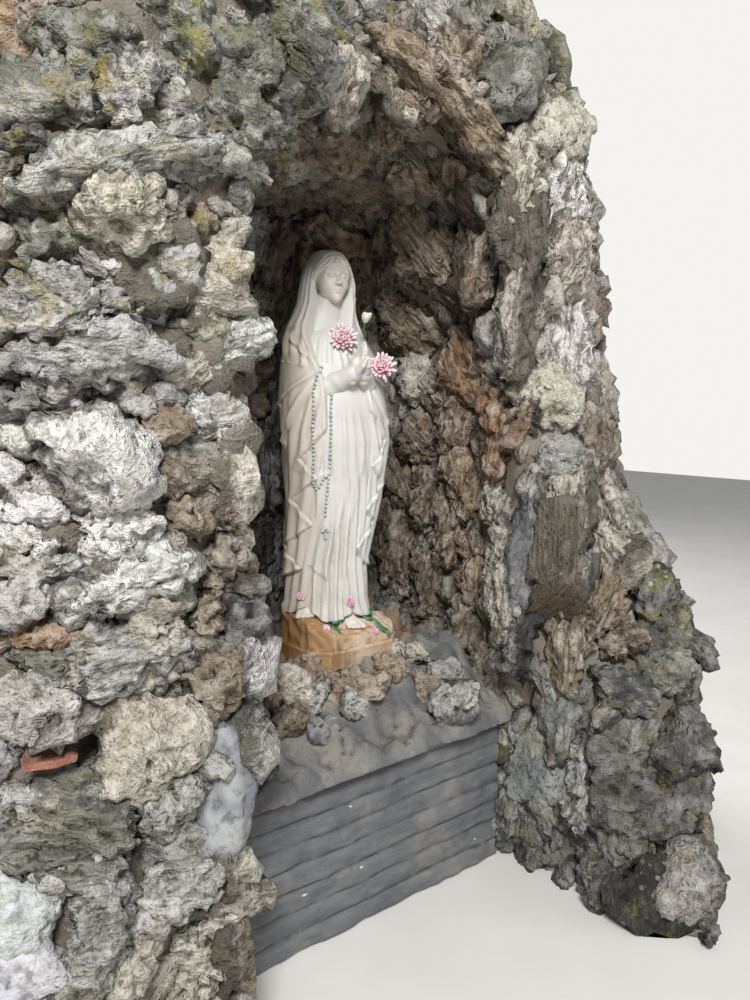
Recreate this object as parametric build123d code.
from build123d import *
import math
import os

# A wayside grotto shrine: a mass of rough tufa with an arched niche, a coursed sill wall, and a rock
# shelf that carries a painted hollow casting of a figure in prayer. Millimetres, +Z up, front to -Y.
# The origin is on the ground, below the middle of the figure's base.

# The niche: arch opening measured at the front plane, then at the back wall
opening_front = 450
niche_back = 340
jamb_left = 605
jamb_right = 358
spring_height = 1960
arch_crown_height = 2450
back_left = 520
back_right = 450
back_spring = 1800
back_crown = 2290
niche_bulge = 60
niche_roughness = 16

# Heights of the rock mass, lift by lift. The mound starts a crown's thickness over the arch.
sill_top = 545
shelf_top = 720
pier_bed = 1300
head_bed = 1880
crown_thickness = 110
mound_rise = 500
cap_bed = arch_crown_height + crown_thickness
rock_top = cap_bed + mound_rise

# Plan of the rock mass at measured heights: height, reach to the left, right, front and back,
# then the tip of the right buttress (x, forward y) and the forward reach of its outer shoulder
sections = [
    (0, 1390, 1390, 700, 700, 545, 1140, 400),
    (shelf_top * 0.5, 1375, 1380, 690, 695, 640, 1010, 440),
    (shelf_top, 1350, 1355, 660, 685, 740, 870, 450),
    ((shelf_top + pier_bed) / 2, 1320, 1290, 620, 670, 735, 720, 390),
    (pier_bed, 1290, 1180, 580, 650, 710, 560, 290),
    (head_bed, 1240, 1110, 550, 620, 715, 470, 210),
    ((head_bed + cap_bed) / 2, 1180, 1105, 535, 600, 710, 455, 200),
    (cap_bed, 1060, 1000, 510, 560, 680, 430, 190),
    (cap_bed + mound_rise * 0.6, 740, 760, 400, 420, 520, 330, 150),
    (rock_top, 360, 380, 190, 210, 260, 170, 80),
]
ring_spacing = 190
rock_roughness = 18
lump_relief = 32

# The reach of the boxes that cut the mass, well past its sides
far = 2 * max(sections[0][1:])

# Where the arch lift is parted into haunches, crown and vault, and the mound into three masses
haunch_left = -430
haunch_right = 200
vault_front = -120
mound_left = haunch_left + 60
mound_right = haunch_right - 20

# Sill wall between the piers, below the shelf
sill_left = 690
sill_right = 380
sill_face = 410
sill_thickness = 210
course_pitch = 75
course_groove = 8
shelf_overhang = 45
shelf_lip = 25
shelf_roughness = 14
bed_margin = 16

# The figure's base
base_width = 388
base_depth = 300
base_chamfer = 68
plinth_height = 60
mound_height = 86
mound_top_width = 330
mound_top_depth = 296

# The figure, and how the casting is turned and set back on the shelf
figure_turn = -6
figure_shift_x = -12
figure_shift_y = 10
figure_height = 1224
ring_points = 48
mantle_opening = 5
gown_folds = 11
gown_fold_depth = 0.055
mantle_fold_depth = 0.05

# Every measure of the figure from here on is for a height of 1224 and follows figure_height
unit = figure_height / 1224
hem_lean_x = -34
hem_lean_y = 18
lean_height = 420
gown_fold_top = 900
mantle_fold_top = 1000

# Forearms in their sleeves: at the wrist in the middle, and at the elbow on each side
sleeve_reach = 150
wrist_forward = 178
elbow_forward = 92
wrist_height = 778
elbow_height = 716

# Relief prayer beads with a pendant and a cross, flowers at the hands, garland on the base
bead_radius = 5.5
bead_loop_width = 44
bead_loop_top = 690
bead_loop_bottom = 445
pendant_drop = 95
flower_radius = 36
garland_radius = 16
garland_step = 14


def scatter(seed, reach):
    # A repeatable offset between -reach and +reach
    wave = math.sin(seed * 12.9898 + 4.137) * 4375.8545
    return reach * (2 * (wave - math.floor(wave)) - 1)


def mix(low, high, share):
    return low + (high - low) * share


def closed_solid(rings):
    # A solid from matching rings of points: triangles between rings, a flat polygon at each end
    faces = [Face(Wire.make_polygon(rings[0])), Face(Wire.make_polygon(rings[-1]))]
    for low, high in zip(rings, rings[1:]):
        count = len(low)
        for i in range(count):
            j = (i + 1) % count
            faces.append(Face(Wire.make_polygon([low[i], low[j], high[j]])))
            faces.append(Face(Wire.make_polygon([low[i], high[j], high[i]])))
    return Solid(Shell(faces))


def block(x_low, x_high, y_low, y_high, z_low, z_high):
    # A box between two corners
    size = (x_high - x_low, y_high - y_low, z_high - z_low)
    centre = ((x_low + x_high) / 2, (y_low + y_high) / 2, (z_low + z_high) / 2)
    return Pos(*centre) * Box(*size)


def row_at(rows, height):
    # The measures at any height, in line between the two rows around it
    for low, high in zip(rows, rows[1:]):
        if low[0] <= height <= high[0]:
            share = (height - low[0]) / (high[0] - low[0])
            return [mix(a, b, share) for a, b in zip(low, high)]
    raise ValueError("no row at this height")


# Rock mass

def rock_outline(height):
    # Corners of the plan from the front left, then points halfway along each side
    left, right, front, back, tip_x, tip_y, shoulder = row_at(sections, height)[1:]
    jamb = min(sill_left + 40, left * 0.52)
    heel = min(sill_right + 50, right * 0.31)
    heel_y = front * 0.9
    toe_x = mix(heel, tip_x, 0.4) - right * 0.045
    flank_x = mix(tip_x, right, 0.43)
    flank_y = mix(tip_y, shoulder, 0.43) + back * 0.07
    corners = [
        (-left * 0.97, -front * 0.8),
        (-left * 0.79, -front),
        (-jamb, -front * 0.97),
        (heel, -heel_y),
        (toe_x, -mix(heel_y, tip_y, 0.5)),
        (tip_x, -tip_y),
        (flank_x, -flank_y),
        (right * 0.975, -shoulder),
        (right, back * 0.22),
        (right * 0.83, back * 0.87),
        (right * 0.3, back),
        (-left * 0.33, back * 1.02),
        (-left * 0.8, back * 0.87),
        (-left, back * 0.15),
    ]
    points = []
    for i, (x, y) in enumerate(corners):
        next_x, next_y = corners[(i + 1) % len(corners)]
        points.append((x, y))
        points.append(((x + next_x) / 2, (y + next_y) / 2))
    return points


def rock_ring(height, level):
    # The outline at one height. Big stones stand out on every other point, the next row between them.
    ring = []
    for i, (x, y) in enumerate(rock_outline(height)):
        seed = i * 7.31 + level * 2.7
        stands_out = (i + level) % 2 == 0
        lump = lump_relief * (1 if stands_out else -1) * (0.75 + scatter(seed + 6.1, 0.25))
        push = 1 + lump / math.hypot(x, y)
        x = x * push + scatter(seed, rock_roughness)
        y = y * push + scatter(seed + 3.3, rock_roughness)
        ring.append((x, y, height))
    return ring


def lift_steps(bottom, top):
    return max(1, round((top - bottom) / ring_spacing))


def rock_lift(bottom, top):
    # One lift of the mass between two level beds. Both lifts at a bed share the same ring there.
    beds = [0, shelf_top, pier_bed, head_bed, cap_bed, rock_top]
    first = sum(lift_steps(low, high) for low, high in zip(beds, beds[1:]) if high <= bottom)
    steps = lift_steps(bottom, top)
    return closed_solid([rock_ring(mix(bottom, top, k / steps), first + k) for k in range(steps + 1)])


def niche_ring(y, left, right, spring, crown):
    # An arch outline across the niche: up the left jamb, over the arch and down the right jamb
    floor = shelf_top - 30
    centre = (right - left) / 2
    half = (left + right) / 2
    outline = []
    for k in range(5):
        outline.append((-left, mix(floor, spring, k / 5)))
    for k in range(11):
        turn = math.pi * (1 - k / 10)
        outline.append((centre + half * math.cos(turn), spring + (crown - spring) * math.sin(turn)))
    for k in range(5):
        outline.append((right, mix(spring, floor, (k + 1) / 5)))
    ring = []
    for i, (x, z) in enumerate(outline):
        seed = i * 5.17 + y * 0.31
        on_floor = i == 0 or i == len(outline) - 1
        lift = 0 if on_floor else scatter(seed + 1.7, niche_roughness)
        ring.append((x + scatter(seed, niche_roughness), y, z + lift))
    return ring


def niche_space():
    # The hollow that is left out of the mass, wider inside than at its mouth
    rings = [niche_ring(-far, jamb_left * 2.4, jamb_right * 2.2, spring_height, arch_crown_height * 1.5)]
    for share in (0, 0.3, 0.65, 1):
        y = mix(-opening_front, niche_back, share)
        bulge = niche_bulge * math.sin(math.pi * share)
        left = mix(jamb_left, back_left, share) + bulge
        right = mix(jamb_right, back_right, share) + bulge
        spring = mix(spring_height, back_spring, share)
        crown = mix(arch_crown_height, back_crown, share)
        rings.append(niche_ring(y, left, right, spring, crown))
    return closed_solid(rings)


def recess_space():
    # The open ground in front of the sill wall, between the two pier feet
    outline = [
        (-sill_left, -sill_face),
        (-sill_left - 45, -sill_face - 270),
        (-sill_left - 160, -far),
        (sill_right - 260, -far),
        (sill_right - 10, -sill_face - 520),
        (sill_right + 45, -sill_face - 280),
        (sill_right, -sill_face),
    ]
    low = [(x, y, -10) for x, y in outline]
    high = [(x, y, shelf_top + 10) for x, y in outline]
    return closed_solid([low, high])


def pier_feet():
    lift = rock_lift(0, shelf_top) - recess_space()
    lift -= block(-sill_left, sill_right, -sill_face, far, -10, shelf_top + 10)
    middle = (sill_right - sill_left) / 2
    left = lift & block(-far, middle, -far, far, -10, rock_top)
    right = lift & block(middle, far, -far, far, -10, rock_top)
    return left, right


def sill_wall():
    # The coursed wall: a grooved profile drawn from the side and run between the piers
    outline = [(-sill_face + sill_thickness, 0), (-sill_face, 0)]
    courses = int(sill_top / course_pitch)
    for k in range(1, courses):
        z = k * course_pitch
        outline.append((-sill_face, z - course_groove))
        outline.append((-sill_face + course_groove, z))
        outline.append((-sill_face, z + course_groove))
    outline.append((-sill_face, sill_top))
    outline.append((-sill_face + sill_thickness, sill_top))
    face = Face(Wire.make_polygon([(-sill_left, y, z) for y, z in outline]))
    return Solid.extrude(face, Vector(sill_left + sill_right, 0, 0))


def sill_fill():
    # Fill behind the sill wall, through to the back face
    behind = block(-sill_left, sill_right, -sill_face + sill_thickness, far, -10, sill_top)
    return rock_lift(0, shelf_top) & behind


def shelf_rock():
    # The rough bed that the figure stands on: a ledge over the sill wall, then a slope up to the base
    front = sill_face + shelf_overhang
    bed_front = base_depth / 2 + bed_margin
    levels = ((sill_top, front - 14), (sill_top + shelf_lip, front), (shelf_top, bed_front))
    count = 9
    rings = []
    for z, reach in levels:
        ring = [(sill_right, niche_back, z), (-sill_left, niche_back, z)]
        for k in range(count):
            x = mix(-sill_left, sill_right, k / (count - 1))
            ring.append((x, -reach - abs(scatter(k * 2.9 + z, shelf_roughness)), z))
        rings.append(ring)
    behind = block(-sill_left, sill_right, niche_back, far, sill_top, shelf_top + 10)
    return closed_solid(rings) + (rock_lift(0, shelf_top) & behind)


def split_lift(bottom, top):
    # Left pier, right pier and back wall of one lift
    lift = rock_lift(bottom, top) - niche_space()
    low, high = bottom - 10, top + 10
    middle = (jamb_right - jamb_left) / 2
    behind = block(-back_left, back_right, niche_back - niche_bulge, far, low, high)
    back = lift & behind
    rest = lift - behind
    left = rest & block(-far, middle, -far, far, low, high)
    right = rest & block(middle, far, -far, far, low, high)
    return left, right, back


def arch_ring():
    # The lift that closes the arch: two haunches, the crown at the front and the vault behind it
    lift = rock_lift(head_bed, cap_bed) - niche_space()
    low, high = head_bed - 10, cap_bed + 10
    left = lift & block(-far, haunch_left, -far, far, low, high)
    right = lift & block(haunch_right, far, -far, far, low, high)
    crown = lift & block(haunch_left, haunch_right, -far, vault_front, low, high)
    vault = lift & block(haunch_left, haunch_right, vault_front, far, low, high)
    return left, right, crown, vault


def cap_mound():
    # The irregular mound over the arch, in three masses
    lift = rock_lift(cap_bed, rock_top)
    low, high = cap_bed - 10, rock_top + 10
    left = lift & block(-far, mound_left, -far, far, low, high)
    middle = lift & block(mound_left, mound_right, -far, far, low, high)
    right = lift & block(mound_right, far, -far, far, low, high)
    return left, middle, right


# Single stones that stand out of the mass

def boulder(centre, size, turn, seed):
    # A rough convex stone: level rings about the middle, turned about Z, Y and X in degrees
    count = 9
    rings = []
    for level, reach in ((-0.5, 0.5), (-0.3, 0.86), (0, 1), (0.28, 0.88), (0.5, 0.46)):
        ring = []
        for i in range(count):
            angle = math.tau * i / count
            radius = 0.5 * reach * (1 + scatter(seed + i * 3.1 + level * 5, 0.1))
            x, y = radius * math.cos(angle), radius * math.sin(angle)
            ring.append((size[0] * x, size[1] * y, size[2] * level))
        rings.append(ring)
    return Pos(*centre) * Rot(turn[0], turn[1], turn[2]) * closed_solid(rings)


def front_at(height):
    # How far the face of the left pier stands forward
    return row_at(sections, height)[3] * 0.97


def flank_at(height, share):
    # A point on the inner face of the right buttress, from its heel to its tip
    right, front, tip_x, tip_y = (row_at(sections, height)[k] for k in (2, 3, 5, 6))
    return mix(right * 0.31, tip_x, share), -mix(front * 0.9, tip_y, share)


def left_stone(past_jamb, height, seat, size, turn=(0, 0, 0)):
    # A stone in the face of the left pier. The seat is how far its middle lies behind the face.
    return (-jamb_left - past_jamb, -front_at(height) + seat, height), size, turn


def flank_stone(share, height, seat, size, turn=(0, 0, 0)):
    x, y = flank_at(height, share)
    return (x + seat, y + seat, height), size, turn


def arch_stone(x, under_crown, size, turn):
    # A stone at the mouth of the arch
    return (x, -opening_front + 10, arch_crown_height - under_crown), size, turn


stones = {
    "long_log_stone": left_stone(310, head_bed + 212, 25, (120, 150, 470), (0, 72, 0)),
    "holed_log_stone": left_stone(325, head_bed + 118, 10, (140, 190, 190), (0, 82, 0)),
    "pale_log_stone": left_stone(75, head_bed - 150, 70, (105, 170, 250), (0, 74, -24)),
    "pale_boulder": left_stone(395, pier_bed + 192, 20, (260, 190, 240)),
    "fan_stone": left_stone(345, pier_bed - 75, 10, (250, 150, 110), (0, -8, 0)),
    "smooth_jamb_stone": left_stone(175, shelf_top - 20, 20, (140, 150, 330), (0, 6, 0)),
    "low_boulder": left_stone(350, shelf_top + 150, 25, (240, 170, 220)),
    "tile_sliver": left_stone(520, shelf_top + 160, 20, (115, 150, 24), (0, -4, 0)),
    "niche_lintel_stone": ((back_right - 235, niche_back - 20, back_crown - 70), (290, 170, 130), (0, 6, 0)),
    "arch_nose_stone": arch_stone(-jamb_left + 270, 50, (120, 170, 190), (0, 10, 0)),
    "diagonal_slab": arch_stone(mix(-jamb_left, jamb_right, 0.7), 20, (560, 150, 120), (0, 28, 0)),
    "striated_slab": flank_stone(0.35, pier_bed - 150, 40, (190, 170, 460), (0, 12, 0)),
    "root_slab": ((jamb_right + 32, -opening_front + 20, shelf_top + 240), (110, 150, 430), (0, -6, 0)),
    "slanting_slab": ((jamb_right + 30, -opening_front + 200, head_bed + 260), (130, 240, 400), (0, 14, 0)),
    "mossy_boulder": flank_stone(0.98, shelf_top + 235, 30, (240, 220, 240), (0, 0, 30)),
    "flank_boulder": flank_stone(1.1, shelf_top - 240, 60, (330, 270, 260), (0, 0, 20)),
    "foot_boulder": flank_stone(0.92, 140, 60, (330, 250, 280), (0, 0, 30)),
}


def stone_solids():
    # The foot boulder stands on the ground, so it is cut level there
    made = {}
    ground = block(-far, far, -far, far, -far, 0)
    for order, (name, (centre, size, turn)) in enumerate(stones.items()):
        if name == "tile_sliver":
            made[name] = Pos(*centre) * Rot(*turn) * Box(*size)
        else:
            made[name] = boulder(centre, size, turn, order * 1.9) - ground
    return made


# The figure's base

def mound_outline(half_width, half_depth, chamfer, height, lift):
    # A chamfered rectangle, with points between its corners so that the rings match
    x, y, c = half_width, half_depth, chamfer
    front = [(-x, -y + c), (-x + c, -y), (x - c, -y), (x, -y + c)]
    back = [(x, y - c), (x - c, y), (-x + c, y), (-x, y - c)]
    corners = front + back
    ring = []
    for i, corner in enumerate(corners):
        following = corners[(i + 1) % len(corners)]
        for step in (0, 0.5):
            seed = i * 3.7 + step * 9 + height * 0.21
            px = mix(corner[0], following[0], step) + scatter(seed, lift)
            py = mix(corner[1], following[1], step) + scatter(seed + 2, lift)
            ring.append((px, py, height))
    return ring


def figure_base():
    half_width, half_depth = base_width / 2, base_depth / 2
    top_half_width, top_half_depth = mound_top_width / 2, mound_top_depth / 2
    plinth_top = shelf_top + plinth_height
    rings = [mound_outline(half_width, half_depth, base_chamfer, shelf_top, 0)]
    rings.append(mound_outline(half_width, half_depth, base_chamfer, plinth_top - 8, 0))
    for share in (0, 0.5, 1):
        width = mix(half_width - 8, top_half_width, share ** 0.8)
        depth = mix(half_depth - 6, top_half_depth, share ** 0.8)
        rough = 0 if share == 0 else 4
        height = plinth_top + mound_height * share
        rings.append(mound_outline(width, depth, base_chamfer, height, rough))
    return closed_solid(rings)


# The figure: each row is height above the mound, half width, half depth and middle in Y

figure_foot = shelf_top + plinth_height + mound_height

body_rows = [
    (0, 146, 128, 0),
    (60, 140, 124, 0),
    (220, 140, 122, 0),
    (460, 152, 126, 0),
    (700, 158, 128, 0),
    (850, 146, 116, 0),
    (925, 118, 92, 4),
    (975, 62, 60, 4),
]
head_rows = [
    (975, 62, 60, 4),
    (1025, 50, 50, -2),
    (1062, 58, 66, -12),
    (1100, 70, 80, -14),
    (1145, 74, 86, -12),
    (1180, 62, 70, -8),
    (1200, 34, 38, -6),
]
cloak_rows = [
    (70, 158, 140, 4),
    (220, 158, 140, 4),
    (460, 174, 146, 4),
    (700, 188, 152, 2),
    (850, 172, 136, 2),
    (925, 146, 112, 4),
    (975, 98, 92, 4),
    (1025, 86, 86, 2),
    (1062, 84, 88, -2),
    (1100, 86, 94, -4),
    (1145, 88, 98, -4),
    (1180, 78, 86, -4),
]
veil_top_rows = [
    (1180, 78, 86, -4),
    (1208, 54, 60, -4),
    (1224, 24, 26, -4),
]
hand_rows = [
    (756, 30, 24, -178),
    (820, 31, 27, -184),
    (872, 27, 24, -190),
    (915, 18, 17, -196),
    (938, 8, 8, -199),
]

# What lies within the mantle's shell
core_rows = [
    (0, 110, 95, 0),
    (850, 110, 90, 0),
    (975, 50, 50, 4),
    (1025, 42, 42, 0),
    (1180, 42, 50, -8),
]


def at(x, y, height):
    # A place on the figure, measured for a height of 1224
    return (x * unit, y * unit, figure_foot + height * unit)


def fold_swing(height, top, depth):
    # Folds are deepest at the hem and die out towards the top
    return depth * max(0, 1 - height / top)


def drape_ring(row, folds, depth):
    # One level ring of cloth, starting behind the figure and running round past its front
    height, half_width, half_depth, middle = row
    lean = max(0, 1 - height / lean_height)
    ring = []
    for i in range(ring_points):
        angle = math.tau * i / ring_points
        swell = 1 + depth * math.cos(folds * angle + 1.7 * height / lean_height)
        x = hem_lean_x * lean + half_width * swell * math.sin(angle)
        y = hem_lean_y * lean + middle + half_depth * swell * math.cos(angle)
        ring.append(at(x, y, height))
    return ring


def body_ring(height):
    rows = body_rows if height <= body_rows[-1][0] else head_rows
    depth = fold_swing(height, gown_fold_top, gown_fold_depth)
    return drape_ring(row_at(rows, height), gown_folds, depth)


def cloak_ring(height):
    rows = cloak_rows if height <= cloak_rows[-1][0] else veil_top_rows
    depth = fold_swing(height, mantle_fold_top, mantle_fold_depth)
    return drape_ring(row_at(rows, height), gown_folds + 2, depth)


def gown():
    return closed_solid([body_ring(row[0]) for row in body_rows])


def head():
    nose = closed_solid([
        [at(-9, -90, 1098), at(9, -90, 1098), at(0, -106, 1102)],
        [at(-4, -90, 1140), at(4, -90, 1140), at(0, -99, 1140)],
    ])
    return closed_solid([body_ring(row[0]) for row in head_rows]) + nose


def mantle(body_solids):
    # A shell round the back and sides and over the head. Its inside lies on the body.
    count = ring_points // 2
    wrapped = list(range(-count + mantle_opening, count - mantle_opening + 1))
    rings = []
    for row in cloak_rows:
        outer = cloak_ring(row[0])
        inner = drape_ring(row_at(core_rows, row[0]), gown_folds, 0)
        rings.append([outer[i] for i in wrapped] + [inner[i] for i in reversed(wrapped)])
    shell = closed_solid(rings) + closed_solid([cloak_ring(row[0]) for row in veil_top_rows])
    return cut_from(shell, body_solids)


def sleeves():
    # Both forearms in one piece of cloth, from elbow to elbow in front of the chest
    rings = []
    for k in range(-4, 5):
        share = abs(k) / 4
        forward = mix(wrist_forward, elbow_forward, share ** 1.3)
        height = mix(wrist_height, elbow_height, share)
        half_depth = mix(30, 44, share)
        half_height = mix(38, 62, share)
        ring = []
        for i in range(10):
            angle = math.tau * i / 10
            y = half_depth * math.cos(angle) - forward
            ring.append(at(sleeve_reach * k / 4, y, height + half_height * math.sin(angle)))
        rings.append(ring)
    return closed_solid(rings)


def hands():
    # Palms pressed together, pointing up and a little forward
    rings = []
    for height, half_width, half_depth, middle in hand_rows:
        ring = []
        for i in range(12):
            angle = math.tau * i / 12
            ring.append(at(half_width * math.cos(angle), middle + half_depth * math.sin(angle), height))
        rings.append(ring)
    return closed_solid(rings)


def feet():
    # Two bare feet that come out below the hem
    pair = []
    for x, toe, aim in ((-146, 100, -38), (-42, 154, -12)):
        rings = []
        for back, half, rise in ((70, 28, 40), (16, 30, 27), (0, 22, 16)):
            corners = ((-half, back, 0), (half, back, 0), (half * 0.7, back, rise), (-half * 0.7, back, rise))
            rings.append([tuple(value * unit for value in corner) for corner in corners])
        pair.append(Pos(*at(x, -toe, 0)) * Rot(0, 0, aim) * closed_solid(rings))
    return pair


def relief(x_low, x_high, low, high):
    # A bar of the relief, from inside the gown to just in front of it
    x_low, front, z_low = at(x_low, -150, low)
    x_high, back, z_high = at(x_high, -90, high)
    return block(x_low, x_high, front, back, z_low, z_high)


def prayer_beads():
    # One fixed loop in low relief on the gown, with a pendant and a cross
    half, r = bead_loop_width / 2, bead_radius
    cross = bead_loop_bottom - pendant_drop
    left = relief(-half - r, -half + r, bead_loop_bottom - r, bead_loop_top)
    right = relief(half - r, half + r, bead_loop_bottom - r, bead_loop_top)
    low = relief(-half, half, bead_loop_bottom - r, bead_loop_bottom + r)
    pendant = relief(-r, r, cross - 4 * r, bead_loop_bottom)
    arms = relief(-3 * r, 3 * r, cross, cross + 2 * r)
    return left + right + low + pendant + arms


def bloom(radius):
    # A round open flower: rings of petals, narrow at the stem and at the heart
    petals = 8
    rings = []
    for height, reach in ((-0.4, 0.4), (0, 1), (0.38, 0.8), (0.6, 0.3)):
        ring = []
        for i in range(petals):
            angle = math.tau * i / petals
            ring.append((radius * reach * math.cos(angle), radius * reach * math.sin(angle), radius * height))
        rings.append(ring)
    return closed_solid(rings)


def hand_flowers():
    # Two cloth flowers tucked in at the hands
    made = []
    for x, y, height in ((-38, -180, 908), (88, -104, 846)):
        made.append(Pos(*at(x, y, height)) * Rot(80, 0, 20) * bloom(flower_radius * unit))
    return made


def base_garland():
    # A garland of small leaves and buds that lies round the feet on the mound
    rings = []
    for k in range(-6, 7):
        angle = math.radians(k * garland_step)
        x = (mound_top_width / 2 - 15) * math.sin(angle)
        y = -(mound_top_depth / 2 - 2) * math.cos(angle)
        out = (math.sin(angle), -math.cos(angle))
        swell = garland_radius * (1 + scatter(k, 0.2))
        ring = []
        for i in range(6):
            turn = math.tau * i / 6
            reach = swell * math.cos(turn)
            ring.append((x + out[0] * reach, y + out[1] * reach, figure_foot - 4 + swell * math.sin(turn)))
        rings.append(ring)
    return closed_solid(rings)


# Putting the pieces together: whatever is set into a neighbour gets its seat cut there

def touches(a, b):
    first, second = a.bounding_box(), b.bounding_box()
    return (first.min.X < second.max.X and second.min.X < first.max.X
            and first.min.Y < second.max.Y and second.min.Y < first.max.Y
            and first.min.Z < second.max.Z and second.min.Z < first.max.Z)


def cut_from(shape, tools):
    # The shape less every tool that reaches it, without crumbs
    for tool in tools:
        if touches(shape, tool):
            shape = shape - tool
    solids = shape.solids()
    largest = max(solid.volume for solid in solids)
    kept = [solid for solid in solids if solid.volume > largest * 0.02]
    return Compound(kept) if len(kept) > 1 else kept[0]


def masonry():
    left_foot, right_foot = pier_feet()
    left_low, right_low, back_low = split_lift(shelf_top, pier_bed)
    left_high, right_high, back_high = split_lift(pier_bed, head_bed)
    left_haunch, right_haunch, crown, vault = arch_ring()
    left_cap, middle_cap, right_cap = cap_mound()
    return {
        "sill_wall": sill_wall(),
        "sill_fill": sill_fill(),
        "shelf_rock": shelf_rock(),
        "left_pier_foot": left_foot,
        "left_pier_middle": left_low,
        "left_pier_head": left_high,
        "right_pier_foot": right_foot,
        "right_pier_middle": right_low,
        "right_pier_head": right_high,
        "back_wall_low": back_low,
        "back_wall_high": back_high,
        "left_haunch": left_haunch,
        "right_haunch": right_haunch,
        "arch_crown": crown,
        "niche_vault": vault,
        "cap_left": left_cap,
        "cap_middle": middle_cap,
        "cap_right": right_cap,
    }


def figure_pieces():
    base = figure_base()
    gown_solid = gown()
    head_solid = head()
    mantle_solid = mantle([gown_solid, head_solid])
    sleeve_solid = cut_from(sleeves(), [gown_solid, mantle_solid])
    hand_solid = cut_from(hands(), [gown_solid, sleeve_solid])
    garland = cut_from(base_garland(), [base, gown_solid, mantle_solid])
    foot_solids = [cut_from(foot, [gown_solid, garland]) for foot in feet()]
    beads = cut_from(prayer_beads(), [gown_solid, sleeve_solid])
    around = [hand_solid, sleeve_solid, mantle_solid, gown_solid]
    flowers = [cut_from(flower, around) for flower in hand_flowers()]
    made = {
        "figure_base": base,
        "gown": gown_solid,
        "head": head_solid,
        "mantle": mantle_solid,
        "sleeves": sleeve_solid,
        "hands": hand_solid,
        "feet": Compound(foot_solids),
        "prayer_beads": beads,
        "hand_flowers": Compound(flowers),
        "base_garland": garland,
    }
    place = Pos(figure_shift_x, figure_shift_y, 0) * Rot(0, 0, figure_turn)
    return {name: place * shape for name, shape in made.items()}


def build():
    pieces = masonry()
    singles = stone_solids()
    names = list(singles)
    for k, name in enumerate(names):
        earlier = [singles[other] for other in names[:k]]
        singles[name] = cut_from(singles[name], earlier)
    for name in pieces:
        pieces[name] = cut_from(pieces[name], list(singles.values()))
    pieces.update(singles)
    pieces.update(figure_pieces())
    return pieces


os.makedirs("parts", exist_ok=True)
for name, shape in build().items():
    export_step(shape, "parts/" + name + ".step")
